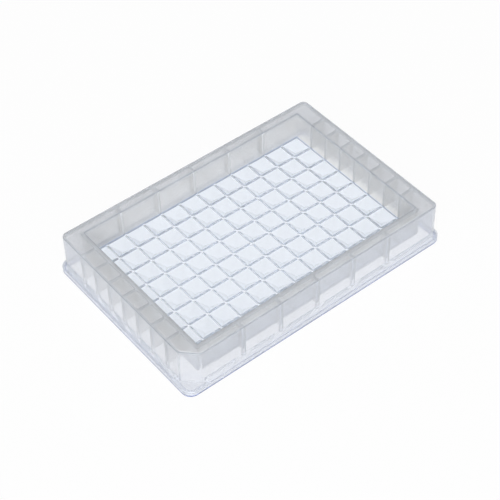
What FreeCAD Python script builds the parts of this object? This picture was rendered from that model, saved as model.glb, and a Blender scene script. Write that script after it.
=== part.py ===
import FreeCAD, Part
import math
import os
import Sketcher

# Low reservoir plate: a microplate with one large rectangular well, whose floor is a grid of
# inverted pyramids.  It is a single injection moulding: a drafted skirt on a stepped base flange,
# a flat deck, the well hung from the deck, and ribs that tie the well to the skirt underneath.
#
# Millimetres.  X runs along the plate, Y across it and Z up.  The origin is in the middle of the
# base, on the surface that the plate stands on.  The notched corner is the one at -X, -Y.

SIZES = (
    # The grid of pyramid cells, which sets the length and width of everything round it.
    ("cell_pitch", 9.0, "distance between the centres of neighbouring cells"),
    ("columns", 12, "cells along X"),
    ("rows", 8, "cells along Y"),
    ("edge_to_column", 14.38, "plate edge to the centre of the first column"),
    ("edge_to_row", 11.24, "plate edge to the centre of the first row"),
    # Base flange.
    ("plate_height", 19.05, "overall height"),
    ("flange_height", 2.45, "height of the flange's upright face"),
    ("flange_slope_height", 2.35, "height of the slope from the flange in to the skirt"),
    ("flange_overhang", 1.82, "how far the flange stands out from the foot of the skirt"),
    ("flange_corner_radius", 4.3, "corner radius of the flange in plan"),
    ("flange_edge_radius", 0.4, "rounding of the flange's outer edges"),
    # Skirt and deck.
    ("skirt_draft", 0.5, "draft of the skirt, in degrees"),
    ("skirt_wall", 1.1, "thickness of the skirt"),
    ("skirt_corner_radius", 1.3, "corner radius at the foot of the skirt"),
    ("hollow_corner_radius", 0.8, "corner radius inside the skirt"),
    ("deck_thickness", 1.5, "thickness of the deck"),
    ("deck_edge_radius", 0.35, "rounding of the deck's outer edge and of the mouth"),
    ("notch_leg", 6.2, "length of the corner notch along each side of the deck"),
    ("notch_edge_radius", 0.65, "rounding of the notch's upright edges at its foot"),
    # Recess in the base that the deck of another plate fits when plates are stacked.
    ("stack_clearance", 0.15, "gap between the recess and the deck that fits it"),
    ("stack_depth", 1.5, "depth of the recess"),
    # Well.
    ("floor_height", 6.25, "height of the ridges between the cells"),
    ("well_margin", 0.19, "flat left between the outermost cells and the well wall"),
    ("well_draft", 0.5, "draft of the well wall, in degrees"),
    ("well_wall", 1.2, "thickness of the well wall"),
    ("well_corner_radius", 0.9, "corner radius inside the well"),
    ("block_corner_radius", 1.1, "corner radius outside the well wall, at its lower edge"),
    # Pyramid cells.
    ("ridge_width", 0.7, "width of the ridge between two cells"),
    ("cell_depth", 3.1, "depth of a cell below the ridges"),
    ("cell_tip", 0.9, "width of the flat at the bottom of a cell"),
    ("floor_wall", 0.85, "thickness of the sloping floor"),
    # Ribs between the skirt and the well.
    ("rib_root", 1.5, "thickness of a rib at the deck"),
    ("rib_foot", 1.0, "thickness of a rib at its lower edge"),
    ("short_side_ribs", 7, "ribs on each short side"),
    ("short_rib_cells", 1, "cells between two ribs of a short side"),
    ("long_side_ribs", 5, "ribs on each long side"),
    ("long_rib_cells", 2, "cells between two ribs of a long side"),
    ("post_radius", 0.95, "radius of the ejector post at the outer end of each rib"),
    ("post_foot_bevel", 0.4, "bevel round the foot of a post"),
    ("post_foot_height", 2.0, "height of the foot of a post above the base"),
    # Gate mark in the middle of the floor.
    ("gate_radius", 1.3, "radius of the gate pad"),
    ("gate_rise", 0.15, "height of the gate pad above the ridges"),
    ("gate_dimple_radius", 0.75, "radius of the dimple in the gate pad"),
    ("gate_dimple_depth", 0.3, "depth of the dimple"),
)

doc = FreeCAD.newDocument("reservoir_plate")

sheet = doc.addObject("Spreadsheet::Sheet", "sizes")
for number, (alias, size, meaning) in enumerate(SIZES, start=1):
    sheet.set(f"A{number}", alias)
    sheet.set(f"B{number}", str(size))
    sheet.set(f"C{number}", meaning)
    sheet.setAlias(f"B{number}", alias)
doc.recompute()

body = doc.addObject("PartDesign::Body", "reservoir_plate")
body.Label = "reservoir_plate"
origin = {feature.Role: feature for feature in body.Origin.OriginFeatures}


# ---------------------------------------------------------------------------------------------
# Expressions for the sizes that follow from the sheet.  Lengths in plan are half sizes.

BASE_X = "((sizes.columns - 1) * sizes.cell_pitch / 2 + sizes.edge_to_column)"
BASE_Y = "((sizes.rows - 1) * sizes.cell_pitch / 2 + sizes.edge_to_row)"
DECK_TOP = "sizes.plate_height"
DECK_MIDDLE = "(sizes.plate_height - sizes.deck_thickness / 2)"
DECK_UNDERSIDE = "(sizes.plate_height - sizes.deck_thickness)"
SLOPE_TOP = "(sizes.flange_height + sizes.flange_slope_height)"

NOTCH_RADIUS = "sizes.notch_edge_radius"

# A cell's side is a slope of CELL_SLOPE (rise over run).  The underside follows it at the floor's
# own thickness, so it lies FLOOR_DROP lower, and meets the next cell's in a valley.
CELL_MOUTH = "((sizes.cell_pitch - sizes.ridge_width) / 2)"
CELL_SLOPE = f"(sizes.cell_depth / ({CELL_MOUTH} - sizes.cell_tip / 2))"
FLOOR_DROP = f"(sizes.floor_wall * sqrt(1 + {CELL_SLOPE} * {CELL_SLOPE}))"
VALLEY = f"(sizes.floor_height - {FLOOR_DROP} + sizes.ridge_width / 2 * {CELL_SLOPE})"
TIP_UNDERSIDE = "(sizes.floor_height - sizes.cell_depth - sizes.floor_wall)"
TIP_HALF = f"(sizes.cell_pitch / 2 - ({VALLEY} - {TIP_UNDERSIDE}) / {CELL_SLOPE})"
FIRST_CELL = (
    "(-(sizes.columns - 1) * sizes.cell_pitch / 2)",
    "(-(sizes.rows - 1) * sizes.cell_pitch / 2)",
)


def skirt_inset(height):
    """How far the outside of the skirt stands in from the base at a height."""
    return f"(sizes.flange_overhang + ({height} - {SLOPE_TOP}) * tan(sizes.skirt_draft))"


def skirt_radius(height):
    """Corner radius of the skirt's outside at a height: draft takes as much from it."""
    return f"(sizes.skirt_corner_radius - ({height} - {SLOPE_TOP}) * tan(sizes.skirt_draft))"


def skirt_notch(height, wall="0"):
    """Leg of the notch at a height, outside the skirt or a wall's thickness inside it."""
    outwards = f"({DECK_TOP} - {height}) * tan(sizes.skirt_draft) - {wall}"
    return f"(sizes.notch_leg + (2 - sqrt(2)) * ({outwards}))"


def well_half(cells, height):
    """Half size of the inside of the well at a height; cells is the number along that axis."""
    floor = f"({cells} * sizes.cell_pitch - sizes.ridge_width) / 2 + sizes.well_margin"
    return f"({floor} + ({height} - sizes.floor_height) * tan(sizes.well_draft))"


def skirt_middle(base_half, height):
    """Half size of the middle of the skirt's wall at a height."""
    return f"({base_half} - {skirt_inset(height)} - sizes.skirt_wall / 2)"


def well_middle(cells, height):
    """Half size of the middle of the well's wall at a height."""
    return f"({well_half(cells, height)} + sizes.well_wall / 2)"


def value(expression):
    return float(sheet.evalExpression(expression))


# ---------------------------------------------------------------------------------------------
# Sketches.

def flat_sketch(name, height, centre=("0", "0")):
    """Empty sketch parallel to the base, with its origin at a centre and height."""
    sketch = body.newObject("Sketcher::SketchObject", name)
    sketch.AttachmentSupport = [(origin["XY_Plane"], "")]
    sketch.MapMode = "FlatFace"
    sketch.setExpression("AttachmentOffset.Base.x", centre[0])
    sketch.setExpression("AttachmentOffset.Base.y", centre[1])
    sketch.setExpression("AttachmentOffset.Base.z", height)
    return sketch


def bind(sketch, name, expression, *constraint):
    """Add a dimension to a sketch and tie it to an expression."""
    index = sketch.addConstraint(Sketcher.Constraint(*constraint, value(expression)))
    sketch.renameConstraint(index, name)
    sketch.setExpression(f"Constraints.{name}", expression)


def outline(name, height, half_x, half_y, radius=None, notch=None, centre=("0", "0")):
    """Rectangle in plan.  It has round corners if it has a radius, and a notch is how much of
    each side at the corner at -X, -Y is then cut off."""
    sketch = flat_sketch(name, height, centre)
    x, y = value(half_x), value(half_y)
    rounding = value(radius) if radius else 0
    notch_rounding = value(NOTCH_RADIUS)
    notch_end = value(notch) + notch_rounding * math.tan(math.pi / 8) if notch else rounding
    ends = (rounding, rounding, rounding, notch_end)
    sides = (
        ((-x + ends[3], -y), (x - ends[0], -y)),
        ((x, -y + ends[0]), (x, y - ends[1])),
        ((x - ends[1], y), (-x + ends[2], y)),
        ((-x, y - ends[2]), (-x, -y + ends[3])),
    )
    for side, (start, end) in enumerate(sides):
        sketch.addGeometry(Part.LineSegment(FreeCAD.Vector(*start), FreeCAD.Vector(*end)))
        sketch.addConstraint(Sketcher.Constraint("Vertical" if side % 2 else "Horizontal", side))

    def arc(centre_x, centre_y, size, start, sweep, before, after):
        """Arc that runs smoothly from the end of one line to the start of the next."""
        circle = Part.Circle(FreeCAD.Vector(centre_x, centre_y), FreeCAD.Vector(0, 0, 1), size)
        start = math.radians(start)
        index = sketch.addGeometry(Part.ArcOfCircle(circle, start, start + math.radians(sweep)))
        sketch.addConstraint(Sketcher.Constraint("Tangent", before, 2, index, 1))
        sketch.addConstraint(Sketcher.Constraint("Tangent", index, 2, after, 1))
        return index

    corners = []
    for side, (sign_x, sign_y) in enumerate(((1, -1), (1, 1), (-1, 1), (-1, -1))):
        following = (side + 1) % 4
        if notch and side == 3:
            leg = value(notch)
            run = notch_rounding * math.tan(math.pi / 8) / math.sqrt(2)
            start = FreeCAD.Vector(-x + run, -y + leg - run)
            end = FreeCAD.Vector(-x + leg - run, -y + run)
            cut = sketch.addGeometry(Part.LineSegment(start, end))
            sketch.addConstraint(Sketcher.Constraint("Angle", cut, math.radians(-45)))
            away = f"(({half_x} + {half_y} - {notch}) / sqrt(2))"
            bind(sketch, "notch", away, "Distance", -1, 1, cut)
            first = arc(-x + notch_rounding, -y + notch_end, notch_rounding, 180, 45, side, cut)
            last = arc(-x + notch_end, -y + notch_rounding, notch_rounding, 225, 45, cut, following)
            bind(sketch, "notch_radius", NOTCH_RADIUS, "Radius", first)
            sketch.addConstraint(Sketcher.Constraint("Equal", first, last))
        elif radius:
            middle = sign_x * (x - rounding), sign_y * (y - rounding)
            corners.append(arc(*middle, rounding, 90 * (side - 1), 90, side, following))
        else:
            sketch.addConstraint(Sketcher.Constraint("Coincident", side, 2, following, 1))
    if corners:
        bind(sketch, "radius", radius, "Radius", corners[0])
    for corner in corners[1:]:
        sketch.addConstraint(Sketcher.Constraint("Equal", corners[0], corner))

    bind(sketch, "front", half_y, "DistanceY", 0, 1, -1, 1)
    bind(sketch, "right", half_x, "DistanceX", -1, 1, 1, 1)
    bind(sketch, "back", half_y, "DistanceY", -1, 1, 2, 1)
    bind(sketch, "left", half_x, "DistanceX", 3, 1, -1, 1)
    return sketch


def corner_triangle(name, height, side):
    """Right triangle over the corner of the base at -X, -Y, a little outside it."""
    sketch = flat_sketch(name, height, (f"-({BASE_X} + 1)", f"-({BASE_Y} + 1)"))
    length = value(side)
    corners = FreeCAD.Vector(0, 0), FreeCAD.Vector(length, 0), FreeCAD.Vector(0, length)
    for number in range(3):
        sketch.addGeometry(Part.LineSegment(corners[number], corners[(number + 1) % 3]))
    for number in range(3):
        following = (number + 1) % 3
        sketch.addConstraint(Sketcher.Constraint("Coincident", number, 2, following, 1))
    sketch.addConstraint(Sketcher.Constraint("Coincident", 0, 1, -1, 1))
    sketch.addConstraint(Sketcher.Constraint("Horizontal", 0))
    sketch.addConstraint(Sketcher.Constraint("Vertical", 2))
    bind(sketch, "along_x", side, "DistanceX", 0, 1, 0, 2)
    bind(sketch, "along_y", side, "DistanceY", 2, 2, 2, 1)
    return sketch


def disc(name, height, radius):
    """Circle in plan, in the middle of the plate."""
    sketch = flat_sketch(name, height)
    circle = Part.Circle(FreeCAD.Vector(), FreeCAD.Vector(0, 0, 1), value(radius))
    sketch.addGeometry(circle)
    sketch.addConstraint(Sketcher.Constraint("Coincident", 0, 3, -1, 1))
    bind(sketch, "radius", radius, "Radius", 0)
    return sketch


def post_profile(name, centre, height):
    """Half of an upright post from its foot to its top, for turning about its own axis."""
    sketch = body.newObject("Sketcher::SketchObject", name)
    sketch.AttachmentSupport = [(origin["XZ_Plane"], "")]
    sketch.MapMode = "FlatFace"
    sketch.setExpression("AttachmentOffset.Base.x", centre[0])
    sketch.setExpression("AttachmentOffset.Base.y", "sizes.post_foot_height")
    sketch.setExpression("AttachmentOffset.Base.z", f"-{centre[1]}")
    radius = value("sizes.post_radius")
    bevel = value("sizes.post_foot_bevel")
    top = value(height)
    corners = (
        FreeCAD.Vector(radius - bevel, 0),
        FreeCAD.Vector(0, 0),
        FreeCAD.Vector(0, top),
        FreeCAD.Vector(radius, top),
        FreeCAD.Vector(radius, bevel),
    )
    count = len(corners)
    for side in range(count):
        sketch.addGeometry(Part.LineSegment(corners[side], corners[(side + 1) % count]))
    for side in range(count):
        sketch.addConstraint(Sketcher.Constraint("Coincident", side, 2, (side + 1) % count, 1))
    for side, direction in enumerate(("Horizontal", "Vertical", "Horizontal", "Vertical")):
        sketch.addConstraint(Sketcher.Constraint(direction, side))
    sketch.addConstraint(Sketcher.Constraint("Coincident", 0, 2, -1, 1))
    bind(sketch, "height", height, "DistanceY", 1, 1, 1, 2)
    bind(sketch, "radius", "sizes.post_radius", "DistanceX", 2, 1, 2, 2)
    bind(sketch, "bevel_across", "sizes.post_foot_bevel", "DistanceX", 4, 2, 4, 1)
    bind(sketch, "bevel_up", "sizes.post_foot_bevel", "DistanceY", 4, 2, 4, 1)
    return sketch


# ---------------------------------------------------------------------------------------------
# Features.

def extrude(kind, name, sketch, length, upwards=True, taper=None):
    """Pad or Pocket of one sketch.  A taper narrows it by so many degrees as it leaves the sketch."""
    feature = body.newObject(f"PartDesign::{kind}", name)
    feature.Profile = sketch
    feature.setExpression("Length", length)
    goes_up_by_itself = kind == "Pad"
    feature.Reversed = upwards != goes_up_by_itself
    if taper:
        feature.setExpression("TaperAngle", f"-({taper})")
    doc.recompute()
    return feature


def wedge(kind, name, centre, top, top_sides, bottom, bottom_sides):
    """Solid with flat faces between a rectangle at its top and one at its bottom.  The sides of
    each are where it starts and ends along X and along Y, from the centre in plan."""
    feature = body.newObject(f"PartDesign::{kind}Wedge", name)
    feature.AttachmentSupport = [(origin["XY_Plane"], "")]
    feature.MapMode = "FlatFace"
    feature.AttachmentOffset.Rotation = FreeCAD.Rotation(FreeCAD.Vector(1, 0, 0), -90)
    feature.setExpression("AttachmentOffset.Base.x", centre[0])
    feature.setExpression("AttachmentOffset.Base.y", centre[1])
    feature.setExpression("AttachmentOffset.Base.z", top)
    feature.Ymin = 0
    feature.setExpression("Ymax", f"{top} - {bottom}")
    for place, at_top, at_bottom in zip(("Xmin", "Xmax", "Zmin", "Zmax"), top_sides, bottom_sides):
        feature.setExpression(place, at_top)
        feature.setExpression(place.replace("m", "2m"), at_bottom)
    doc.recompute()
    return feature


def square(half):
    """Sides of a square of a half size, for a wedge."""
    return f"-{half}", half, f"-{half}", half


def turned(name, profile):
    """Solid of revolution of a profile about its own upright axis."""
    feature = body.newObject("PartDesign::Revolution", name)
    feature.Profile = profile
    feature.ReferenceAxis = (profile, ["V_Axis"])
    feature.Angle = 360
    doc.recompute()
    return feature


def rounding(name, edges, radius):
    """Fillet of edges picked from the body as it is so far."""
    names = [f"Edge{index}" for index, edge in enumerate(body.Shape.Edges, start=1) if edges(edge)]
    base = body.Tip
    feature = body.newObject("PartDesign::Fillet", name)
    feature.Base = (base, names)
    feature.setExpression("Radius", radius)
    doc.recompute()
    return feature


def row(name, axis, spacing, count):
    """Linear pattern along an axis, with nothing in it yet."""
    feature = body.newObject("PartDesign::LinearPattern", name)
    feature.Direction = (origin[axis], [""])
    feature.Mode = "Extent"
    feature.setExpression("Length", f"({count} - 1) * {spacing}")
    feature.setExpression("Occurrences", count)
    return feature


def cell_grid(name, cell):
    """One cell's feature repeated over the whole floor."""
    grid = row(name, "X_Axis", "sizes.cell_pitch", "sizes.columns")
    grid.Originals = [cell]
    grid.Direction2 = (origin["Y_Axis"], [""])
    grid.Mode2 = "Extent"
    grid.setExpression("Length2", "(sizes.rows - 1) * sizes.cell_pitch")
    grid.setExpression("Occurrences2", "sizes.rows")
    body.Tip = grid
    doc.recompute()
    return grid


def both_sides(name, features, axis, spacing, count, plane):
    """Row of features along an axis, with its mirror image on the other side of a plane."""
    repeat = body.newObject("PartDesign::MultiTransform", name)
    repeat.Originals = features
    mirror = body.newObject("PartDesign::Mirrored", f"{name}_mirror")
    mirror.MirrorPlane = (origin[plane], [""])
    repeat.Transformations = [row(f"{name}_row", axis, spacing, count), mirror]
    body.Tip = repeat
    doc.recompute()
    return repeat


NEAR = 0.01     # places closer than this are the same


def lies_between(edge, low, high):
    """Whether the whole of an edge is between two heights."""
    return edge.BoundBox.ZMin > low - NEAR and edge.BoundBox.ZMax < high + NEAR


# Flange, slope and skirt, solid up to the deck.
flange = outline("flange_outline", "0", BASE_X, BASE_Y, "sizes.flange_corner_radius")
extrude("Pad", "flange", flange, "sizes.flange_height")

slope = outline(
    "slope_outline", "sizes.flange_height", BASE_X, BASE_Y, "sizes.flange_corner_radius"
)
slope_angle = "atan(sizes.flange_overhang / sizes.flange_slope_height)"
extrude("Pad", "flange_slope", slope, "sizes.flange_slope_height", taper=slope_angle)

flange_top = value("sizes.flange_height")
rounding(
    "flange_edges",
    lambda edge: lies_between(edge, flange_top, flange_top),
    "sizes.flange_edge_radius",
)

# The slope stops short of the notched corner.
clear_of_slope = "(2 * (sizes.flange_overhang + 1) + sizes.notch_leg + sizes.skirt_wall / sqrt(2))"
slope_end = corner_triangle("slope_end_outline", "sizes.flange_height", clear_of_slope)
extrude("Pocket", "slope_end", slope_end, "sizes.flange_slope_height")

skirt = outline(
    "skirt_outline",
    "sizes.flange_height",
    f"({BASE_X} - {skirt_inset('sizes.flange_height')})",
    f"({BASE_Y} - {skirt_inset('sizes.flange_height')})",
    skirt_radius("sizes.flange_height"),
    skirt_notch("sizes.flange_height"),
)
skirt_height = "(sizes.plate_height - sizes.flange_height)"
extrude("Pad", "skirt", skirt, skirt_height, taper="sizes.skirt_draft")

# Recess in the base, and the hollow above it up to the deck.
recess_x = f"({BASE_X} - {skirt_inset(DECK_TOP)} + sizes.stack_clearance)"
recess_y = f"({BASE_Y} - {skirt_inset(DECK_TOP)} + sizes.stack_clearance)"
recess_radius = f"({skirt_radius(DECK_TOP)} + sizes.stack_clearance)"
recess = outline("recess_outline", "0", recess_x, recess_y, recess_radius)
extrude("Pocket", "stack_recess", recess, "sizes.stack_depth")

hollow = outline(
    "hollow_outline",
    "sizes.stack_depth",
    f"({BASE_X} - {skirt_inset('sizes.stack_depth')} - sizes.skirt_wall)",
    f"({BASE_Y} - {skirt_inset('sizes.stack_depth')} - sizes.skirt_wall)",
    "sizes.hollow_corner_radius",
    skirt_notch("sizes.stack_depth", "sizes.skirt_wall"),
)
hollow_height = f"({DECK_UNDERSIDE} - sizes.stack_depth)"
extrude("Pocket", "hollow", hollow, hollow_height, taper="sizes.skirt_draft")

# Well: its outer block under the deck, then the cavity from the deck down to the ridges.
well_block = outline(
    "well_block_outline",
    VALLEY,
    f"({well_half('sizes.columns', VALLEY)} + sizes.well_wall)",
    f"({well_half('sizes.rows', VALLEY)} + sizes.well_wall)",
    "sizes.block_corner_radius",
)
well_block_height = f"({DECK_MIDDLE} - {VALLEY})"
extrude("Pad", "well_block", well_block, well_block_height, taper="-sizes.well_draft")
mouth = outline(
    "mouth_outline",
    DECK_TOP,
    well_half("sizes.columns", DECK_TOP),
    well_half("sizes.rows", DECK_TOP),
    "sizes.well_corner_radius",
)
well_depth = f"({DECK_TOP} - sizes.floor_height)"
extrude("Pocket", "well", mouth, well_depth, upwards=False, taper="sizes.well_draft")

deck_top = value(DECK_TOP)
rounding(
    "deck_edges",
    lambda edge: lies_between(edge, deck_top, deck_top),
    "sizes.deck_edge_radius",
)


# Ribs from the skirt to the well, and the ejector posts at their outer ends.
def rib_sides(base_half, cells, height, thickness):
    """Where a rib starts and ends at a height: across the gap, then along the wall."""
    outer = f"-{skirt_middle(base_half, height)}"
    inner = f"-{well_middle(cells, height)}"
    return outer, inner, f"-{thickness} / 2", f"{thickness} / 2"


def ribs(name, base_half, cells, count, spacing, axis):
    """Row of ribs and posts along an axis, on the side at -X or -Y and on the one across from it."""
    step = f"({spacing} * sizes.cell_pitch)"
    start = f"(-({count} - 1) * {step} / 2)"
    root = rib_sides(base_half, cells, DECK_MIDDLE, "sizes.rib_root")
    foot = rib_sides(base_half, cells, VALLEY, "sizes.rib_foot")
    post_centre = f"(sizes.post_radius - {skirt_middle(base_half, 'sizes.post_foot_height')})"
    if axis == "Y":
        rib_centre = "0", start
        post_centre = post_centre, start
        plane = "YZ_Plane"
    else:
        rib_centre = start, "0"
        post_centre = start, post_centre
        root = root[2:] + root[:2]
        foot = foot[2:] + foot[:2]
        plane = "XZ_Plane"
    rib = wedge("Additive", f"{name}_rib", rib_centre, DECK_MIDDLE, root, VALLEY, foot)
    post_height = f"({DECK_MIDDLE} - sizes.post_foot_height)"
    profile = post_profile(f"{name}_post_profile", post_centre, post_height)
    post = turned(f"{name}_post", profile)
    both_sides(f"{name}_ribs", [rib, post], f"{axis}_Axis", step, count, plane)


ribs("short_side", BASE_X, "sizes.columns", "sizes.short_side_ribs", "sizes.short_rib_cells", "Y")
ribs("long_side", BASE_Y, "sizes.rows", "sizes.long_side_ribs", "sizes.long_rib_cells", "X")

# Floor: the underside of the pyramids, then the cells themselves.
CELL_HALF = "(sizes.cell_pitch / 2)"
underside = wedge(
    "Additive", "cell_underside", FIRST_CELL, VALLEY, square(CELL_HALF), TIP_UNDERSIDE, square(TIP_HALF)
)
cell_grid("cell_undersides", underside)

TIP = "(sizes.floor_height - sizes.cell_depth)"
CELL_TIP_HALF = "(sizes.cell_tip / 2)"
cell = wedge(
    "Subtractive", "cell", FIRST_CELL, "sizes.floor_height", square(CELL_MOUTH), TIP, square(CELL_TIP_HALF)
)
cell_grid("cells", cell)

# Gate pad on the ridges in the middle of the floor, with a dimple in it.
gate_top = "(sizes.floor_height + sizes.gate_rise)"
gate_pad = disc("gate_pad_outline", VALLEY, "sizes.gate_radius")
extrude("Pad", "gate_pad", gate_pad, f"({gate_top} - {VALLEY})")
gate_dimple = disc("gate_dimple_outline", gate_top, "sizes.gate_dimple_radius")
extrude("Pocket", "gate_dimple", gate_dimple, "sizes.gate_dimple_depth", upwards=False)


# ---------------------------------------------------------------------------------------------
# Check everything, then write the part.

steps_of_patterns = []
for item in doc.Objects:
    if item.TypeId == "PartDesign::MultiTransform":
        steps_of_patterns.extend(item.Transformations)
for item in doc.Objects:
    if "Invalid" in item.State or "Error" in item.State:
        raise RuntimeError(f"{item.Label} did not build: {item.getStatusString()}")
    # A pattern or mirror that belongs to a multiple pattern has no shape of its own.
    is_solid = item.TypeId.startswith("PartDesign::") and item not in steps_of_patterns
    if is_solid and (item.Shape.isNull() or not item.Shape.isValid()):
        raise RuntimeError(f"{item.Label} has no valid shape")
if len(body.Shape.Solids) != 1:
    raise RuntimeError(f"{body.Label} is {len(body.Shape.Solids)} solids")

os.makedirs("parts", exist_ok=True)
body.Shape.Solids[0].exportStep("parts/reservoir_plate.step")
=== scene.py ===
import math
import bmesh
import bpy
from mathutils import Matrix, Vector


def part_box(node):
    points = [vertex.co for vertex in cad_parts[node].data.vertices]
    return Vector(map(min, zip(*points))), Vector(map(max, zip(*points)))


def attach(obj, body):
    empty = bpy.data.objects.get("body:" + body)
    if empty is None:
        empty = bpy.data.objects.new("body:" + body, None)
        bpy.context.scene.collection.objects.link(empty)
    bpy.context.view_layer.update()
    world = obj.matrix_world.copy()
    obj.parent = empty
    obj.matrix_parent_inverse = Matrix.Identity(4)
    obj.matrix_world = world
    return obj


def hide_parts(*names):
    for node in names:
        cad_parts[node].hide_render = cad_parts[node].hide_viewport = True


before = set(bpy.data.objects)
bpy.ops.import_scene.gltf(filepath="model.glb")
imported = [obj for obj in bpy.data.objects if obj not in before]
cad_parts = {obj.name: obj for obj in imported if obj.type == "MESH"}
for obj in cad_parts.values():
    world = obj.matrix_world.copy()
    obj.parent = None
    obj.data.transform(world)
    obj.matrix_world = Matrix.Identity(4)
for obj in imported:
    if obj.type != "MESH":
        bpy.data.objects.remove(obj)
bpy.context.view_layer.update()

MM = 0.001                  # Blender's metres in a millimetre

# ---------------------------------------------------------------------------------------------
# Sizes in millimetres.  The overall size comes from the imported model.  The others are the same
# as the model's, apart from corner radii, roundings and the slope over the recess in the base.

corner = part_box("reservoir_plate")[1]
BASE_X, BASE_Y, TOP = 1000 * corner.x, 1000 * corner.y, 1000 * corner.z
DRAFT = math.tan(math.radians(0.5))     # of the skirt and of the well's wall

# Base flange and the slope from it in to the skirt.
FLANGE_TOP = 2.45           # top of the upright face
SLOPE_TOP = 4.8             # foot of the skirt
OVERHANG = 1.82             # from the foot of the skirt out to the upright face
FLANGE_RADIUS = 4.3
FLANGE_EDGE = 0.3           # rounding of the edges, and where the slope meets the skirt
SLOPE = (SLOPE_TOP - FLANGE_TOP) / OVERHANG
SLOPE_END = 96.0            # the slope stops at the notch, on the line x + y = -SLOPE_END
SEAM = 0.04                 # width in plan of the upright face where a slope stops
LANDING_ROOT = 0.25         # rounding where the notch meets the flat landing in front of it
LANDING_EDGE = 0.5          # rounding of the landing's outer edge

# Skirt, with a notch at the corner at -X, -Y.
SKIRT_WALL = 1.1
SKIRT_RADIUS = 2.4          # corner radius at the foot, outside
HOLLOW_RADIUS = 1.3         # corner radius inside
NOTCH = 6.2                 # what the notch takes of each side at the deck
NOTCH_RADIUS = 0.4          # rounding of its upright edges, outside
NOTCH_HOLLOW = 2.0          # rounding of its upright edges, inside
LEG_GROWTH = 2 - math.sqrt(2)       # growth of its legs for each millimetre that the sides move

# Deck.
DECK = 1.5
EDGE = 0.3                  # rounding of the well's mouth
RIM_EDGE = 0.2              # rounding of the deck's outer edge
UNDER_DECK = 0.4            # rounding where the skirt and the well's wall meet the underside
IN_DECK = 18.3              # height inside the deck where ribs and posts end

# Recess in the base that fits the deck of another plate.
RECESS = 1.5
RECESS_GAP = 0.15
RECESS_BEVEL = 0.15
INNER_SLOPE = 2.0           # rise of the slope over the recess, in to the skirt
NOTCH_LEDGE = 0.2           # the same beside the notch
INNER_RAMP = 1.6            # from the slope's end beside the notch to the next point

# Well.
FLOOR = 6.25                # height of the ridges between the cells
MARGIN = 0.19               # flat between the outermost cells and the wall
WALL_FOOT = 0.12            # height of the wall's foot over the ridges
WELL_WALL = 1.2
WELL_RADIUS = 0.6           # corner radius inside
BLOCK_RADIUS = 0.7          # corner radius outside
BLOCK_FOOT = 0.5            # rounding of the wall's lower edge, outside

# Cells of the floor, which are inverted pyramids.
PITCH = 9.0
COLUMNS, ROWS = 12, 8
RIDGE = 0.7                 # width of the flat between two cells
CELL_DEPTH = 3.1
CELL_TIP = 0.9              # width of the flat at the bottom
FLOOR_WALL = 0.85           # thickness of the sloping sides
CELL_EDGE = 0.15            # rounding of the ridges, above and below
MOUTH_CORNER, UNDER_CORNER = 0.3, 0.7       # corner radius of a cell, above and below
MOUTH_FOOT, UNDER_FOOT = 0.6, 0.5           # rounding from its sides to its flat bottom
MOUTH_TIP, UNDER_TIP = 0.3, 0.35            # corner radius of the bottom per half size of it
MOUTH = (PITCH - RIDGE) / 2
FALL = CELL_DEPTH / (MOUTH - CELL_TIP / 2)
LEAN = math.atan(FALL)
VALLEY = FLOOR - FLOOR_WALL * math.hypot(1, FALL) + RIDGE / 2 * FALL
TIP = FLOOR - CELL_DEPTH - FLOOR_WALL
TIP_HALF = PITCH / 2 - (VALLEY - TIP) / FALL

# Ribs from the skirt to the well, and the post at the outer end of each.
SHORT_SIDE_RIBS, LONG_SIDE_RIBS = 7, 5
SHORT_RIB_STEP, LONG_RIB_STEP = PITCH, 2 * PITCH
RIB_ROOT, RIB_EDGE = 1.5, 1.0       # thickness at the deck and at the lower edge
RIB_FOOT = 5.5              # height of the lower edge
POST_RADIUS = 0.95
POST_FOOT = 2.0             # height of the posts' lower end

# Gate mark in the middle of the floor.
GATE_TOP = FLOOR + 0.15
GATE_RADIUS = 1.3
IN_FLOOR = 5.8              # height inside the floor where the gate pad ends
DIMPLE_DEPTH, DIMPLE_RADIUS = 0.3, 0.76

# Steps round a corner of the outlines, and points on the side that follows each corner.
CORNER = 12
SIDES = (24, 16, 24, 16)
AROUND = sum(SIDES) + 4 * (CORNER + 1)
AT_NOTCH = set(range(CORNER + 2)) | {AROUND - 1}
RIM_STEPS, EDGE_STEPS = 4, 3        # steps of the roundings at the deck, and of the others
POST_STEPS, GATE_STEPS = 20, 32


def wider(half, by):
    """Half sizes that are larger by a distance on each side."""
    return half[0] + by, half[1] + by


def skirt(z):
    """Half sizes of the outside of the skirt at a height."""
    return wider((BASE_X, BASE_Y), -(OVERHANG + (z - SLOPE_TOP) * DRAFT))


def well(z, wall=0.0):
    """Half sizes of the well at a height, inside or outside its wall."""
    grow = (z - FLOOR) * DRAFT + MARGIN - RIDGE / 2 + wall
    return wider((COLUMNS * PITCH / 2, ROWS * PITCH / 2), grow)


def notch_leg(z, wall=0.0):
    """What the notch takes of each side at a height, outside the skirt or inside its wall."""
    return NOTCH + LEG_GROWTH * ((TOP - z) * DRAFT - wall)


# ---------------------------------------------------------------------------------------------
# Outlines in plan.

def arc(x, y, radius, start, sweep, steps):
    """Points of an arc round a place; start and sweep are in half turns."""
    points = []
    for step in range(steps + 1):
        turn = math.pi * (start + step / steps * sweep)
        points.append((x + radius * math.cos(turn), y + radius * math.sin(turn)))
    return points


def between(start, end, count):
    """Evenly spaced points on the way from one place to another."""
    return [
        tuple(a + (b - a) * (step + 1) / (count + 1) for a, b in zip(start, end))
        for step in range(count)
    ]


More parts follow.
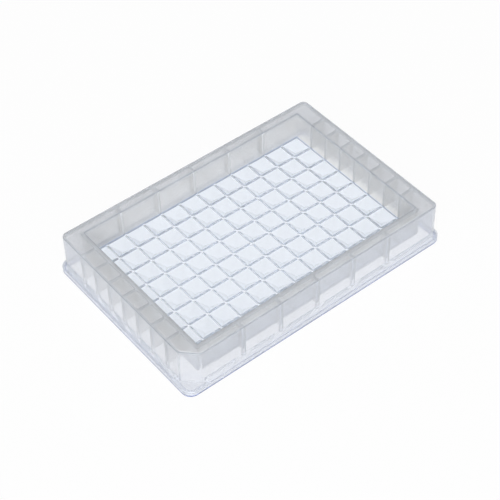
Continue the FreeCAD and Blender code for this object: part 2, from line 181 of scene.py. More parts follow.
def ring(half, radius, notch=0.0, slope_end=None, bend=NOTCH_RADIUS):
    """Points round a rounded rectangle, anticlockwise from its corner at -X, -Y.  notch is what
    a notch there takes of each side, and bend the rounding of its ends.  slope_end is the x and
    the y at which a slope stops beside it, and the distance from there to the next point."""
    hx, hy = half
    corners = []
    for number, (sx, sy) in enumerate(((-1, -1), (1, -1), (1, 1), (-1, 1))):
        middle = sx * (hx - radius), sy * (hy - radius)
        corners.append(arc(*middle, radius, 1 + number / 2, 0.5, CORNER))
    if notch:
        run = notch + bend * math.tan(math.pi / 8)
        first = arc(bend - hx, run - hy, bend, 1, 0.25, CORNER // 3)
        last = arc(run - hx, bend - hy, bend, 1.25, 0.25, CORNER // 3)
        cut = between(first[-1], last[0], CORNER + 1 - 2 * len(last))
        corners[0] = first + cut + last
    around = []
    for number, count in enumerate(SIDES):
        side = between(corners[number][-1], corners[(number + 1) % 4][0], count)
        around += corners[number] + side
    if slope_end:
        x, y, step = slope_end
        for number in (0, 1):
            after, before = CORNER + 1 + number, -1 - number
            around[after] = x + number * step, around[after][1]
            around[before] = around[before][0], y + number * step
    return around


def ring_with_slope_end(half, radius, notch=0.0):
    """Ring with points where the slope over the flange stops beside the notch."""
    hx, hy = wider(half, -SLOPE_END - SEAM / 2)
    return ring(half, radius, notch, (hy, hx, SEAM))


def hollow_ring(z, inwards=0.0, slope_end=None):
    """Ring inside the skirt at a height, or further inwards."""
    wall = SKIRT_WALL + inwards
    leg = notch_leg(z, wall)
    return ring(wider(skirt(z), -wall), HOLLOW_RADIUS, leg, slope_end, NOTCH_HOLLOW)


def four_quarters(quarter):
    """Points of one quarter of an outline, repeated all round the middle."""
    around = []
    for number in range(4):
        for x, y in quarter:
            for _ in range(number):
                x, y = -y, x
            around.append((x, y))
    return around


def cell_ring(half, radius):
    """Points round a square with rounded corners, six to a side and corner."""
    middle = half - radius
    return four_quarters([(half, 0.0)] + arc(middle, middle, radius, 0, 0.5, 4))


def cell_border():
    """Points round a cell's own square of the grid, which neighbours share.  They are closer
    together towards its corners."""
    half = PITCH / 2
    near, far = half - 0.5, half - 1.3
    return four_quarters([
        (half, 0.0), (half, far), (half, near), (half, half), (near, half), (far, half),
    ])


def inside_rounded(x, y, hx, hy, radius):
    """Nearest point inside a rounded rectangle round the middle, for one beyond it."""
    sx, sy = math.copysign(1, x), math.copysign(1, y)
    x, y = min(abs(x), hx), min(abs(y), hy)
    vx, vy = x - (hx - radius), y - (hy - radius)
    if vx > 0 and vy > 0 and math.hypot(vx, vy) > radius:
        scale = radius / math.hypot(vx, vy)
        x, y = hx - radius + vx * scale, hy - radius + vy * scale
    return sx * x, sy * y


def flange_inset(x, y):
    """How far a place is inside the outline of the base."""
    qx = abs(x) - (BASE_X - FLANGE_RADIUS)
    qy = abs(y) - (BASE_Y - FLANGE_RADIUS)
    return FLANGE_RADIUS - math.hypot(max(qx, 0), max(qy, 0)) - min(max(qx, qy), 0)


# ---------------------------------------------------------------------------------------------
# Roundings in section.

def quarter_round(radius, steps):
    """How far a rounded edge has gone sideways and up at each step from its upright end."""
    turns = [math.pi / 2 * step / steps for step in range(steps + 1)]
    return [(radius * (1 - math.cos(turn)), radius * math.sin(turn)) for turn in turns]


def rounded_corner(start, corner, end, count):
    """Points of a rounded corner from its start to its end."""
    points = []
    for number in range(count):
        t = number / (count - 1)
        points.append(tuple(
            (1 - t) ** 2 * a + 2 * t * (1 - t) * b + t ** 2 * c
            for a, b, c in zip(start, corner, end)
        ))
    return points


# ---------------------------------------------------------------------------------------------
# Plate: one closed shell, then the ribs, posts and gate mark.

def face_of(*corners):
    """Face that leaves out repeated corners."""
    return tuple(dict.fromkeys(corners))


class Shell:
    """Mesh under construction; points in millimetres."""

    def __init__(self):
        self.points = []
        self.faces = []
        self.known = {}

    def point(self, x, y, z):
        """Number of a point, which is added unless it is there already."""
        key = (round(x, 4), round(y, 4), round(z, 4))
        if key not in self.known:
            self.known[key] = len(self.points)
            self.points.append((x, y, z))
        return self.known[key]

    def loop(self, plan, z):
        """Numbers of an outline's points at one height, or at one height each."""
        heights = z if isinstance(z, list) else [z] * len(plan)
        return [self.point(x, y, h) for (x, y), h in zip(plan, heights)]

    def band(self, first, last):
        """Quads between two loops with as many points."""
        count = len(first)
        for i in range(count):
            j = (i + 1) % count
            face = face_of(first[i], first[j], last[j], last[i])
            if len(face) > 2:
                self.faces.append(face)

    def zip_up(self, first, last):
        """Triangles between two loops round the middle, whatever their numbers of points."""
        def by_angle(loop):
            wide, deep = (max(abs(self.points[i][axis]) for i in loop) for axis in (0, 1))
            return sorted(
                (math.atan2(self.points[i][1] / deep, self.points[i][0] / wide), i) for i in loop
            )

        def angle(loop, number):
            """Angle of a point, counted on after a whole turn."""
            return loop[number % len(loop)][0] + (math.tau if number >= len(loop) else 0)

        a, b = by_angle(first), by_angle(last)
        i = j = 0
        while i < len(a) or j < len(b):
            here, there = a[i % len(a)][1], b[j % len(b)][1]
            if j >= len(b) or (i < len(a) and angle(a, i + 1) <= angle(b, j + 1)):
                i += 1
                self.faces.append((here, a[i % len(a)][1], there))
            else:
                j += 1
                self.faces.append((here, b[j % len(b)][1], there))


def cells(shell, rings, centre_z, limit=None):
    """Grid of cells, each made of rings from the grid's square to its own middle.  Gives the
    points on the outside of the grid, which a limit keeps inside a rounded rectangle."""
    def outermost(place, middle, count):
        last = abs(middle) > (count - 2) / 2 * PITCH
        return last and place == math.copysign(PITCH / 2, middle)

    border = set()
    for column in range(COLUMNS):
        for row in range(ROWS):
            cx = (column - (COLUMNS - 1) / 2) * PITCH
            cy = (row - (ROWS - 1) / 2) * PITCH
            loops = []
            for plan, z in rings:
                places = [(cx + x, cy + y) for x, y in plan]
                if limit and not loops:
                    places = [inside_rounded(*place, *limit) for place in places]
                loops.append(shell.loop(places, z))
            for index, (x, y) in zip(loops[0], rings[0][0]):
                if outermost(x, cx, COLUMNS) or outermost(y, cy, ROWS):
                    border.add(index)
            for first, last in zip(loops, loops[1:]):
                shell.band(first, last)
            middle = shell.point(cx, cy, centre_z)
            for i, index in enumerate(loops[-1]):
                shell.faces.append((index, loops[-1][(i + 1) % len(loops[-1])], middle))
    return list(border)


def tip_rings(half, z, radius, roundness):
    """Rings where the sides of a cell curve into the flat at its bottom."""
    reach = radius * math.tan(LEAN / 2)
    above = (half + reach * math.cos(LEAN), z + reach * math.sin(LEAN))
    rounded = rounded_corner(above, (half, z), (half - reach, z), 3)
    return [(cell_ring(size, size * roundness), height) for size, height in rounded]


def floor_top(shell):
    """Cells from above.  Gives the points round the floor."""
    reach = CELL_EDGE * math.tan(LEAN / 2)
    flat = reach * math.cos(LEAN)
    rings = [(cell_border(), FLOOR)]
    for step in range(4):
        d = -reach + (reach + flat) * step / 3
        drop = CELL_EDGE - math.sqrt(CELL_EDGE ** 2 - (d + reach) ** 2)
        rings.append((cell_ring(MOUTH - d, MOUTH_CORNER - min(d, 0)), FLOOR - drop))
    bottom = FLOOR - CELL_DEPTH
    rings += tip_rings(CELL_TIP / 2, bottom, MOUTH_FOOT, MOUTH_TIP)
    return cells(shell, rings, bottom, (*well(FLOOR), WELL_RADIUS))


def floor_underside(shell):
    """Cells from below.  Gives the points round them, and their height."""
    centre = VALLEY - CELL_EDGE / math.cos(LEAN)
    across = CELL_EDGE * math.sin(LEAN)
    rings = [(cell_border(), centre + CELL_EDGE)]
    for t in (0.5, 1.0):
        d = across * t
        z = centre + math.sqrt(CELL_EDGE ** 2 - d ** 2)
        rings.append((cell_ring(PITCH / 2 - d, UNDER_CORNER), z))
    rings += tip_rings(TIP_HALF, TIP, UNDER_FOOT, UNDER_TIP)
    return cells(shell, rings, TIP), centre + CELL_EDGE


def over_flange(foot, edge, inset):
    """Place on the way from the skirt's foot to the edge of the base, inset from the edge."""
    share = inset / flange_inset(*foot)
    return tuple(outer + (inner - outer) * share for inner, outer in zip(foot, edge))


def on_slope(foot, edge, inset):
    """Point of the slope at an inset from the edge of the base."""
    x, y = over_flange(foot, edge, inset)
    return x, y, FLANGE_TOP + flange_inset(x, y) * SLOPE


def slope_column(foot, edge):
    """Eleven points from the skirt's foot down the slope and over its outer edge."""
    lean = math.atan(1 / SLOPE)
    reach = FLANGE_EDGE * math.tan(lean / 2)
    inset = reach * math.sin(lean)
    whole = flange_inset(*foot)
    crest = FLANGE_TOP + whole * SLOPE
    root_end = on_slope(foot, edge, whole - inset)
    root = rounded_corner((*foot, crest + reach), (*foot, crest), root_end, 3)
    middle = [on_slope(foot, edge, whole * share) for share in (0.7, 0.5, 0.3)]
    edge_start = on_slope(foot, edge, inset)
    corner, edge_end = (*edge, FLANGE_TOP), (*edge, FLANGE_TOP - reach)
    return root + middle + rounded_corner(edge_start, corner, edge_end, 5)


def landing_column(foot, low_foot, edge):
    """As many points beside the notch, where the skirt goes on down to the flat landing."""
    wall = [(*foot, SLOPE_TOP + up) for up in (0.17, 0.1, 0.0)]
    root_start, root_corner = (*low_foot, FLANGE_TOP + LANDING_ROOT), (*low_foot, FLANGE_TOP)
    root_end = (*over_flange(foot, edge, flange_inset(*foot) - LANDING_ROOT), FLANGE_TOP)
    root = rounded_corner(root_start, root_corner, root_end, 3)
    edge_start = (*over_flange(foot, edge, LANDING_EDGE), FLANGE_TOP)
    corner, edge_end = (*edge, FLANGE_TOP), (*edge, FLANGE_TOP - LANDING_EDGE)
    return wall + root + rounded_corner(edge_start, corner, edge_end, 5)


def flange_rows():
    """Rows of points all round, from the foot of the skirt to the flange's upright face."""
    feet = ring_with_slope_end(skirt(SLOPE_TOP), SKIRT_RADIUS, notch_leg(SLOPE_TOP))
    low_feet = ring_with_slope_end(skirt(FLANGE_TOP), SKIRT_RADIUS, notch_leg(FLANGE_TOP))
    edges = ring_with_slope_end((BASE_X, BASE_Y), FLANGE_RADIUS)
    columns = []
    for number, (foot, low_foot, edge) in enumerate(zip(feet, low_feet, edges)):
        if number in AT_NOTCH:
            columns.append(landing_column(foot, low_foot, edge))
        else:
            columns.append(slope_column(foot, edge))
    return zip(*columns)


def build_shell():
    """Surface of the plate without ribs, posts and gate mark, as loops from the floor of the
    well over the deck, the skirt and the flange to the underside of the floor."""
    shell = Shell()
    # Inside of the well, mouth and deck.
    floor_edge = floor_top(shell)
    z = FLOOR + WALL_FOOT
    loops = [shell.loop(ring(well(z), WELL_RADIUS), z)]
    shell.zip_up(floor_edge, loops[0])
    z = TOP - EDGE
    for out, up in quarter_round(EDGE, RIM_STEPS):
        loops.append(shell.loop(ring(wider(well(z), out), WELL_RADIUS + out), z + up))
    z = TOP - RIM_EDGE
    for inwards, up in reversed(quarter_round(RIM_EDGE, RIM_STEPS)):
        radius = SKIRT_RADIUS - (z - SLOPE_TOP) * DRAFT - inwards
        leg = notch_leg(z) - LEG_GROWTH * inwards
        loops.append(shell.loop(ring(wider(skirt(z), -inwards), radius, leg), z + up))

    # Slope and flange.
    for row in flange_rows():
        loops.append([shell.point(*point) for point in row])
    for inwards, up in quarter_round(FLANGE_EDGE, EDGE_STEPS):
        plan = ring(wider((BASE_X, BASE_Y), -inwards), FLANGE_RADIUS - inwards)
        loops.append(shell.loop(plan, FLANGE_EDGE - up))

    # Recess in the base, the slope over it, and the hollow up to the deck.
    past_notch = notch_leg(RECESS, SKIRT_WALL) + NOTCH_HOLLOW * math.tan(math.pi / 8)
    past_notch += SKIRT_WALL + SEAM
    inner_end = (*(past_notch - half for half in skirt(RECESS)), INNER_RAMP)
    for z, out in ((0.0, RECESS_BEVEL), (RECESS_BEVEL, 0.0), (RECESS, 0.0)):
        out += RECESS_GAP
        plan = ring(wider(skirt(TOP), out), SKIRT_RADIUS + out, 0.0, inner_end)
        loops.append(shell.loop(plan, z))
    rises = [NOTCH_LEDGE if column in AT_NOTCH else INNER_SLOPE for column in range(AROUND)]
    plan = hollow_ring(RECESS, 0.0, inner_end)
    loops.append(shell.loop(plan, [RECESS + rise for rise in rises]))
    root = TOP - DECK - UNDER_DECK
    for inwards, up in quarter_round(UNDER_DECK, EDGE_STEPS):
        loops.append(shell.loop(hollow_ring(root + up, inwards), root + up))

    # Outside of the well, down to the underside of its floor.
    for out, up in reversed(quarter_round(UNDER_DECK, EDGE_STEPS)):
        plan = ring(well(root + up, WELL_WALL + out), BLOCK_RADIUS + out)
        loops.append(shell.loop(plan, root + up))
    under_edge, bottom = floor_underside(shell)
    for inwards, up in quarter_round(BLOCK_FOOT, EDGE_STEPS):
        z = bottom + BLOCK_FOOT - up
        plan = ring(well(z, WELL_WALL - inwards), BLOCK_RADIUS - inwards)
        loops.append(shell.loop(plan, z))
    for first, last in zip(loops, loops[1:]):
        shell.band(first, last)
    shell.zip_up(loops[-1], under_edge)
    return shell


def to_object(name, points, faces):
    """Object from a closed mesh in millimetres, with its faces turned outwards."""
    mesh = bpy.data.meshes.new(name)
    mesh.from_pydata([(x * MM, y * MM, z * MM) for x, y, z in points], [], faces)
    made = bmesh.new()
    made.from_mesh(mesh)
    bmesh.ops.remove_doubles(made, verts=made.verts, dist=1e-8)
    bmesh.ops.recalc_face_normals(made, faces=made.faces)
    made.to_mesh(mesh)
    made.free()
    obj = bpy.data.objects.new(name, mesh)
    bpy.context.scene.collection.objects.link(obj)
    return obj


def across_gap(axis, across, along):
    """Place in plan in the gap between skirt and well, which an axis crosses."""
    return (across, along) if axis == 0 else (along, across)


def add_bar(points, faces, section, ends, axis, place):
    """Add a closed bar to a mesh.  Its section is (sideways, z) points, and ends are the places
    along the axis where each of them starts and stops."""
    first = len(points)
    count = len(section)
    for end in ends:
        for (sideways, z), reach in zip(section, end):
            points.append((*across_gap(axis, reach, place + sideways), z))
    faces.append(tuple(first + i for i in range(count)))
    faces.append(tuple(first + count + i for i in reversed(range(count))))
    for i in range(count):
        j = (i + 1) % count
        faces.append((first + i, first + count + i, first + count + j, first + j))


def add_turned(points, faces, profile, x, y, steps):
    """Add a closed solid of revolution to a mesh.  Its profile is (radius, z) points, from one
    end of its axis to the other."""
    rings = []
    for radius, z in profile:
        if radius == 0:
            rings.append([len(points)] * steps)
            points.append((x, y, z))
        else:
            rings.append([len(points) + i for i in range(steps)])
            for i in range(steps):
                turn = math.tau * (i + 0.5) / steps
                points.append((x + radius * math.cos(turn), y + radius * math.sin(turn), z))
    for a, b in zip(rings, rings[1:]):
        for i in range(steps):
            j = (i + 1) % steps
            faces.append(face_of(a[i], a[j], b[j], b[i]))


def rib_places():
    """(axis across the gap, side, place along the wall) of each rib."""
    for side in (-1, 1):
        for number in range(SHORT_SIDE_RIBS):
            yield 0, side, (number - (SHORT_SIDE_RIBS - 1) / 2) * SHORT_RIB_STEP
        for number in range(LONG_SIDE_RIBS):
            yield 1, side, (number - (LONG_SIDE_RIBS - 1) / 2) * LONG_RIB_STEP


def build_ribs():
    points, faces = [], []
    # One side of the section; the lower edge is rounded.
    section = [(-RIB_ROOT / 2, IN_DECK), (-RIB_EDGE / 2, RIB_FOOT + 0.22)]
    section += [(-0.44, RIB_FOOT + 0.06), (-0.28, RIB_FOOT)]
    section += [(-sideways, z) for sideways, z in reversed(section)]
    for axis, side, place in rib_places():
        outer = [side * (skirt(z)[axis] - SKIRT_WALL / 2) for _, z in section]
        inner = [side * well(z, WELL_WALL / 2)[axis] for _, z in section]
        add_bar(points, faces, section, (outer, inner), axis, place)
    return to_object("ribs", points, faces)


def build_posts():
    points, faces = [], []
    rounded_foot = [(0.6, 0.0), (0.3, 0.08), (0.08, 0.3), (0.0, 0.6)]
    profile = [(POST_RADIUS - inwards, POST_FOOT + up) for inwards, up in rounded_foot]
    profile = [(0, POST_FOOT), *profile, (POST_RADIUS, IN_DECK), (0, IN_DECK)]
    for axis, side, place in rib_places():
        centre = side * (skirt(POST_FOOT)[axis] - SKIRT_WALL / 2 - POST_RADIUS)
        add_turned(points, faces, profile, *across_gap(axis, centre, place), POST_STEPS)
    return to_object("posts", points, faces)


def build_turned(name, profile):
    """Solid of revolution in the middle of the floor, from (radius, z) points."""
    points, faces = [], []
    add_turned(points, faces, profile, 0, 0, GATE_STEPS)
    return to_object(name, points, faces)


def build_gate():
    return build_turned("gate", [
        (0, IN_FLOOR), (GATE_RADIUS, IN_FLOOR), (GATE_RADIUS, GATE_TOP - 0.12),
        (GATE_RADIUS - 0.04, GATE_TOP - 0.03), (GATE_RADIUS - 0.15, GATE_TOP), (0, GATE_TOP),
    ])


def build_dimple():
    bottom, above_pad = GATE_TOP - DIMPLE_DEPTH, GATE_TOP + 0.1
    return build_turned("dimple", [
        (0, bottom), (DIMPLE_RADIUS - 0.16, bottom), (DIMPLE_RADIUS - 0.04, bottom + 0.05),
        (DIMPLE_RADIUS, bottom + 0.15), (DIMPLE_RADIUS + 0.09, above_pad), (0, above_pad),
    ])


def combine(target, tool, operation):
    """Join another object to the target or cut it from the target, and remove it."""
    modifier = target.modifiers.new(operation, "BOOLEAN")
    modifier.object = tool
    modifier.operation = operation
    modifier.solver = "MANIFOLD"
    graph = bpy.context.evaluated_depsgraph_get()
    mesh = bpy.data.meshes.new_from_object(target.evaluated_get(graph))
    target.modifiers.clear()
    old = target.data
    target.data = mesh
    bpy.data.meshes.remove(old)
    bpy.data.objects.remove(tool)


def build_plate():
    shell = build_shell()
    plate = to_object("reservoir_plate_moulding", shell.points, shell.faces)
    combine(plate, build_ribs(), "UNION")
    combine(plate, build_posts(), "UNION")
    combine(plate, build_gate(), "UNION")
    combine(plate, build_dimple(), "DIFFERENCE")
    return plate


# ---------------------------------------------------------------------------------------------
# Materials.

def new_material(name):
    material = bpy.data.materials.new(name)
    material.use_nodes = True
    tree = material.node_tree
    tree.nodes.clear()
    output = tree.nodes.new("ShaderNodeOutputMaterial")
    return material, tree, output


def feed(tree, socket, value):
    """Give a socket a constant or link another socket to it."""
    if isinstance(value, bpy.types.NodeSocket):
        tree.links.new(value, socket)
    else:
        socket.default_value = value


def calculate(tree, operation, *values):
    node = tree.nodes.new("ShaderNodeMath")
    node.operation = operation
    for socket, value in zip(node.inputs, values):
        feed(tree, socket, value)
    return node.outputs[0]


def all_of(tree, first, *others):
    """1 where every mask is 1: their product."""
    for other in others:
        first = calculate(tree, "MULTIPLY", first, other)
    return first


def any_of(tree, first, *others):
    """1 where at least one mask is 1: the largest of them."""
    for other in others:
        first = calculate(tree, "MAXIMUM", first, other)
    return first


def ramp(tree, value, start, end, low=0.0, high=1.0):
    """A value from low to high as another goes from start to end."""
    node = tree.nodes.new("ShaderNodeMapRange")
    node.interpolation_type = "SMOOTHSTEP"
    for socket, number in zip(node.inputs, (value, start, end, low, high)):
        feed(tree, socket, number)
    return node.outputs[0]


def blend(tree, share, first, second):
    node = tree.nodes.new("ShaderNodeMix")
    node.data_type = "RGBA"
    feed(tree, node.inputs["Factor"], share)
    feed(tree, node.inputs[6], (*first, 1) if isinstance(first, tuple) else first)
    feed(tree, node.inputs[7], (*second, 1) if isinstance(second, tuple) else second)
    return node.outputs[2]


def noise(tree, place, scale, detail):
    node = tree.nodes.new("ShaderNodeTexNoise")
    feed(tree, node.inputs["Vector"], place)
    feed(tree, node.inputs["Scale"], scale)
    feed(tree, node.inputs["Detail"], detail)
    return node.outputs["Fac"]


def below(tree, value, limit, soft=0.05):
    """1 where a distance is below a limit in millimetres, and 0 above it."""
    return ramp(tree, value, MM * (limit + soft), MM * (limit - soft))


def above(tree, value, limit, soft=0.05):
    return ramp(tree, value, MM * (limit - soft), MM * (limit + soft))


# Finish of each part of the surface: colour, roughness, and the share of light that passes. The
# colours of the deck's top, the skirt, the flange and the lines along edges and creases are
# painted shade, and the ridges' paler colour is painted light.
SATIN = dict(color=(1.0, 0.99, 0.97), roughness=0.20, transmission=0.755)
# Deck's top: a rougher satin, and a greyer colour that is painted shade.
DECK_TOP_FINISH_AND_SHADE = dict(color=(0.955, 0.955, 0.965), roughness=0.24, transmission=0.755)
# Skirt and flange: smoother satin, with darker, bluer colours that are painted shade.
SKIRT_FINISH_AND_SHADE = dict(color=(0.865, 0.88, 0.925), roughness=0.14, transmission=0.77)
FLANGE_FINISH_AND_SHADE = dict(color=(0.83, 0.855, 0.915), roughness=0.18, transmission=0.77)
# Dark blue line along the base's lower edge: painted shade where the base meets the table.
BASE_SHADE_LINE = dict(color=(0.08, 0.13, 0.48), roughness=0.14, transmission=0.77)
# Grey lines along the rounded edges of the well's mouth and the deck's rim: painted shade.
EDGE_SHADE_LINES = dict(color=(0.51, 0.54, 0.59), roughness=0.22, transmission=0.77)
# Grey band where the well's outer wall meets the deck's underside: painted shade in that crease.
ROOT_SHADE = dict(color=(0.68, 0.70, 0.74), roughness=0.22, transmission=0.77)
# Dark blue band at the foot of the well's wall, over the ridges: painted shade in that crease.
FOOT_SHADE = dict(color=(0.45, 0.54, 0.70), roughness=0.15, transmission=0.80)
CLEAR = dict(color=(0.855, 0.895, 0.955), roughness=0.08, transmission=0.97)
# Ridge tops between the cells: a paler colour than the clear floor's, which is painted light.
RIDGE_LIGHT = dict(color=(0.95, 0.96, 1.0), roughness=0.10, transmission=0.97)
CLOUDING, CLOUD_SCALE = 0.04, 55.0      # share that the clouds take off the colour
CLOUD_START, CLOUD_END = 0.35, 0.65     # of the noise that makes the clouds
GRAIN, GRAIN_SCALE = 0.04, 2500.0       # range of the fine unevenness in roughness
INDEX = 1.49

# How far the finishes and the painted shading reach, in millimetres.
SPARE, OVERLAP = 0.3, 0.1               # past what they cover, and over the part beside them
BASE_SHADE_TOP, BASE_SHADE_WIDTH = 0.7, 0.5         # the painted shade line along the base: up from the base, and in from its edge
DECK_REACH = 0.2                        # the deck's top, with its painted shade: down from the deck
ROOT_SHADE_DROP, ROOT_SHADE_WIDTH = 0.8, 0.5        # the painted shade under the deck: down from under the deck, and out from the well
FLOOR_REACH, INTO_WALL = 0.5, 0.35      # CLEAR: up from the ridges, and into the well's wall
RIDGE_LIGHT_REACH = 0.2                       # the painted light on the ridges: down from their tops
FOOT_SHADE_REACH, FOOT_SHADE_WIDTH = 0.3, 0.25      # the painted shade at the wall's foot: up from the ridges, and in from the well's wall

# The volume: a blue tint where light goes a long way through the plastic, and its milkiness.
TINT, DENSITY = (0.45, 0.70, 0.98), 32.0
MILK, MILKINESS, FLOOR_MILKINESS = (0.995, 0.995, 0.995), 180.0, 60.0


class Places:
    """Masks for parts of the plate, from a place in its own space."""

    def __init__(self, tree, place):
        self.tree = tree
        split = tree.nodes.new("ShaderNodeSeparateXYZ")
        tree.links.new(place, split.inputs[0])
        self.height = split.outputs["Z"]
        self.across = [calculate(tree, "ABSOLUTE", split.outputs[axis]) for axis in "XY"]
        total = calculate(tree, "ADD", split.outputs["X"], split.outputs["Y"])
        self.to_notch = calculate(tree, "MULTIPLY", total, -1.0)

    def over(self, height, soft=0.05):
        return above(self.tree, self.height, height, soft)

    def under(self, height, soft=0.05):
        return below(self.tree, self.height, height, soft)

    def inside(self, half):
        """1 inside a rectangle in plan."""
        return all_of(self.tree, *(below(self.tree, d, h) for d, h in zip(self.across, half)))

    def strip(self, half, inwards, outwards):
        """1 in the strip along a rectangle in plan."""
        outer, inner = self.inside(wider(half, outwards)), self.inside(wider(half, -inwards))
        return calculate(self.tree, "SUBTRACT", outer, inner)

    def beyond(self, half, inwards):
        """1 outside a line that runs inwards of a rectangle's sides and of the notch."""
        sides = [above(self.tree, d, h - inwards) for d, h in zip(self.across, half)]
        diagonal = sum(half) - NOTCH - inwards * math.sqrt(2)
        return any_of(self.tree, above(self.tree, self.to_notch, diagonal), *sides)

    def rim(self, half, radius, width):
        """1 in the outermost strip of a rounded rectangle, for places inside it."""
        squares = []
        for d, h in zip(self.across, half):
            past = calculate(self.tree, "SUBTRACT", d, MM * (h - radius))
            past = calculate(self.tree, "MAXIMUM", past, 0.0)
            squares.append(calculate(self.tree, "MULTIPLY", past, past))
        distance = calculate(self.tree, "SQRT", calculate(self.tree, "ADD", *squares))
        return above(self.tree, distance, radius - width, 0.1)


def finishes_and_painted_shading(tree, places, floor):
    """(mask, finish) of each part of the surface, with painted shade and painted light in
    several of the colours; a later one covers the earlier ones.
    """
    underside = TOP - DECK
    # Where the painted shade under the deck goes.
    shaded_roots = all_of(tree, places.over(underside - ROOT_SHADE_DROP), places.under(underside + SPARE))
    root_shade_strip = places.strip(well(underside, WELL_WALL), OVERLAP, ROOT_SHADE_WIDTH)
    # Where the painted shade at the foot of the well's wall goes.
    feet = all_of(tree, places.over(FLOOR - OVERLAP), places.under(FLOOR + FOOT_SHADE_REACH))
    foot_shade_strip = places.strip(well(FLOOR), FOOT_SHADE_WIDTH, INTO_WALL)
    # Where the painted shade line along the base goes.
    base_shade_strip = places.rim((BASE_X, BASE_Y), FLANGE_RADIUS, BASE_SHADE_WIDTH)
    # Where the painted shade lines go: the rounding at the well's mouth and at the deck's rim.
    mouth = places.inside(wider(well(TOP), EDGE))
    edges = any_of(tree, mouth, places.beyond(skirt(TOP), RIM_EDGE))
    return (
        # Painted shade: darker, bluer colours on the outside of the skirt and on the flange.
        (places.beyond(skirt(TOP), SKIRT_WALL + SPARE), SKIRT_FINISH_AND_SHADE),
        (places.under(FLANGE_TOP), FLANGE_FINISH_AND_SHADE),
        (all_of(tree, places.under(BASE_SHADE_TOP, 0.3), base_shade_strip), BASE_SHADE_LINE),
        # Painted shade: the greyer colour on the deck's top.
        (places.over(TOP - DECK_REACH, 0.15), DECK_TOP_FINISH_AND_SHADE),
        (all_of(tree, places.over(TOP - EDGE), edges), EDGE_SHADE_LINES),
        (all_of(tree, shaded_roots, root_shade_strip), ROOT_SHADE),
        (floor, CLEAR),
        # Painted light: the paler colour on the ridge tops.
        (all_of(tree, floor, places.over(FLOOR - RIDGE_LIGHT_REACH, 0.1)), RIDGE_LIGHT),
        (all_of(tree, feet, foot_shade_strip), FOOT_SHADE),
    )


def plastic_surface(tree, place, places, floor):
    color, roughness, passed = SATIN["color"], SATIN["roughness"], SATIN["transmission"]
    for mask, finish_and_shading in finishes_and_painted_shading(tree, places, floor):
        color = blend(tree, mask, color, finish_and_shading["color"])
        roughness = ramp(tree, mask, 0.0, 1.0, roughness, finish_and_shading["roughness"])
        passed = ramp(tree, mask, 0.0, 1.0, passed, finish_and_shading["transmission"])

    clouds = noise(tree, place, CLOUD_SCALE, 3.0)
    clouds = ramp(tree, clouds, CLOUD_START, CLOUD_END, 1.0 - CLOUDING, 1.0)
    clouded = tree.nodes.new("ShaderNodeVectorMath")
    clouded.operation = "SCALE"
    tree.links.new(color, clouded.inputs[0])
    feed(tree, clouded.inputs["Scale"], any_of(tree, clouds, floor))
    grain = noise(tree, place, GRAIN_SCALE, 2.0)
    unevenness = calculate(tree, "MULTIPLY_ADD", grain, GRAIN, -GRAIN / 2)
    # Light inside the plastic isn't held up by the finish: it leaves or is reflected.
    inside = tree.nodes.new("ShaderNodeNewGeometry").outputs["Backfacing"]

    shader = tree.nodes.new("ShaderNodeBsdfPrincipled")
    feed(tree, shader.inputs["Base Color"], clouded.outputs[0])
    feed(tree, shader.inputs["Roughness"], calculate(tree, "ADD", roughness, unevenness))
    feed(tree, shader.inputs["Transmission Weight"], any_of(tree, inside, passed))
    shader.inputs["IOR"].default_value = INDEX
    return shader.outputs[0]


def plastic_volume(tree, floor):
    tint = tree.nodes.new("ShaderNodeVolumeAbsorption")
    tint.inputs["Color"].default_value = (*TINT, 1)
    tint.inputs["Density"].default_value = DENSITY
    milk = tree.nodes.new("ShaderNodeVolumeScatter")
    milk.inputs["Color"].default_value = (*MILK, 1)
    feed(tree, milk.inputs["Density"], ramp(tree, floor, 0.0, 1.0, MILKINESS, FLOOR_MILKINESS))
    both = tree.nodes.new("ShaderNodeAddShader")
    tree.links.new(tint.outputs[0], both.inputs[0])
    tree.links.new(milk.outputs[0], both.inputs[1])
    return both.outputs[0]


def polypropylene():
    """Natural polypropylene: hazy where the mould is satin, clear in the polished floor, and
    bluer where it is thick."""
    material, tree, output = new_material("polypropylene_natural")
    place = tree.nodes.new("ShaderNodeTexCoord").outputs["Object"]
    places = Places(tree, place)
    floor_area = places.inside(wider(well(FLOOR), INTO_WALL))
    floor = all_of(tree, places.under(FLOOR + FLOOR_REACH, 0.4), floor_area)
    surface = plastic_surface(tree, place, places, floor)
    tree.links.new(surface, output.inputs["Surface"])
    tree.links.new(plastic_volume(tree, floor), output.inputs["Volume"])
    return material


SHARP_ANGLE = math.radians(35)
FACE_WEIGHT = 90            # over 50: large faces turn the normals of small ones beside them

plate = build_plate()
plate.data.materials.clear()
plate.data.materials.append(polypropylene())
for face in plate.data.polygons:
    face.material_index = 0
    face.use_smooth = True
plate.data.set_sharp_from_angle(angle=SHARP_ANGLE)
weigh = plate.modifiers.new("weigh", "WEIGHTED_NORMAL")
weigh.keep_sharp = True
weigh.weight = FACE_WEIGHT
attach(plate, "root")
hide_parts("reservoir_plate")


# ---------------------------------------------------------------------------------------------
# Floor, light and camera, in metres.

TABLE_REACH = 3.0
AIR_GAP = 0.0001            # a table that touches the base shows patches in it
TABLE_WHITE = 0.9
GLOW_SHARE = 0.96           # of the table that is plain white to the eye
AMBIENT, BACKDROP = 0.25, 1.0       # strength of the room as a light, and to the eye
LAMP_PLACE, LAMP_SIZE, LAMP_WATTS = (-0.9, -1.1, 1.0), 1.6, 34.0
CAMERA_PLACE = (-0.24086, -0.30809, 0.42033)
CAMERA_ROTATION = (0.75158, 0.015297, -0.678463)
LENS, SENSOR = 103.34, 36   # millimetres
NEAREST = 0.01


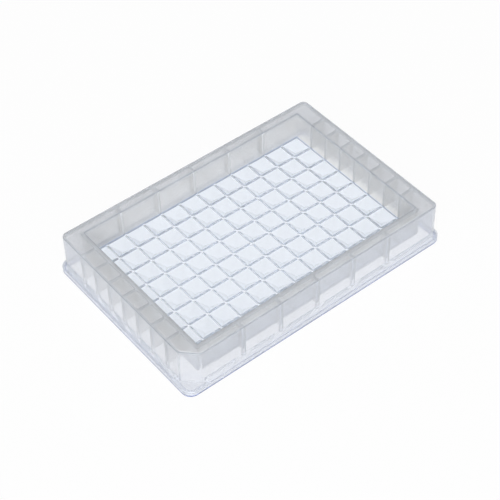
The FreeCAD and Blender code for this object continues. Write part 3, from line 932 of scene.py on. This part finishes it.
def seen_directly(tree):
    """1 for rays that show something to the eye, through plastic or in a reflection too."""
    path = tree.nodes.new("ShaderNodeLightPath")
    kinds = ("Is Camera Ray", "Is Glossy Ray", "Is Transmission Ray")
    return any_of(tree, *(path.outputs[kind] for kind in kinds))


def mixed(tree, share, first, second):
    mix = tree.nodes.new("ShaderNodeMixShader")
    tree.links.new(share, mix.inputs[0])
    tree.links.new(first.outputs[0], mix.inputs[1])
    tree.links.new(second.outputs[0], mix.inputs[2])
    return mix.outputs[0]


def build_table():
    material, tree, output = new_material("table")
    matt = tree.nodes.new("ShaderNodeBsdfDiffuse")
    matt.inputs["Color"].default_value = (TABLE_WHITE, TABLE_WHITE, TABLE_WHITE, 1)
    glow = tree.nodes.new("ShaderNodeEmission")
    share = calculate(tree, "MULTIPLY", seen_directly(tree), GLOW_SHARE)
    tree.links.new(mixed(tree, share, matt, glow), output.inputs["Surface"])
    mesh = bpy.data.meshes.new("table")
    signs = ((-1, -1), (1, -1), (1, 1), (-1, 1))
    corners = [(x * TABLE_REACH, y * TABLE_REACH, -AIR_GAP) for x, y in signs]
    mesh.from_pydata(corners, [], [(0, 1, 2, 3)])
    mesh.materials.append(material)
    made = bpy.data.objects.new("table", mesh)
    bpy.context.scene.collection.objects.link(made)
    return made


def build_studio():
    """White room: plain white to the eye, and dimmer as a light."""
    world = bpy.data.worlds.new("studio")
    bpy.context.scene.world = world
    world.use_nodes = True
    tree = world.node_tree
    tree.nodes.clear()
    output = tree.nodes.new("ShaderNodeOutputWorld")
    room, backdrop = (tree.nodes.new("ShaderNodeBackground") for _ in range(2))
    for shader in (room, backdrop):
        shader.inputs["Color"].default_value = (1, 1, 1, 1)
    room.inputs["Strength"].default_value = AMBIENT
    # The backdrop is equally strong all over, but takes its strength by direction: Cycles then
    # samples the room in another way, and without that the fine grain of the picture changes.
    split = tree.nodes.new("ShaderNodeSeparateXYZ")
    tree.links.new(tree.nodes.new("ShaderNodeTexCoord").outputs["Generated"], split.inputs[0])
    strength = ramp(tree, split.outputs["Z"], 0.0, 1.0, BACKDROP, BACKDROP)
    tree.links.new(strength, backdrop.inputs["Strength"])
    tree.links.new(mixed(tree, seen_directly(tree), room, backdrop), output.inputs["Surface"])


def build_lamp():
    """Soft lamp that points at the middle of the plate's base."""
    light = bpy.data.lights.new("key", "AREA")
    light.shape = "SQUARE"
    light.size = LAMP_SIZE
    light.energy = LAMP_WATTS
    made = bpy.data.objects.new("key", light)
    made.location = LAMP_PLACE
    made.rotation_euler = (-Vector(LAMP_PLACE)).to_track_quat("-Z", "Y").to_euler()
    bpy.context.scene.collection.objects.link(made)


def build_camera():
    camera = bpy.data.cameras.new("camera")
    camera.lens = LENS
    camera.sensor_width = SENSOR
    camera.clip_start = NEAREST
    made = bpy.data.objects.new("camera", camera)
    made.location = CAMERA_PLACE
    made.rotation_euler = CAMERA_ROTATION
    bpy.context.scene.collection.objects.link(made)
    bpy.context.scene.camera = made


table = build_table()
build_studio()
build_lamp()
build_camera()

# Light crosses many thin walls, so it needs more bounces than usual.
cycles = bpy.context.scene.cycles
cycles.max_bounces = 32
cycles.transmission_bounces = 32
cycles.glossy_bounces = 16
cycles.volume_bounces = 8

bpy.context.scene.view_settings.view_transform = "Standard"
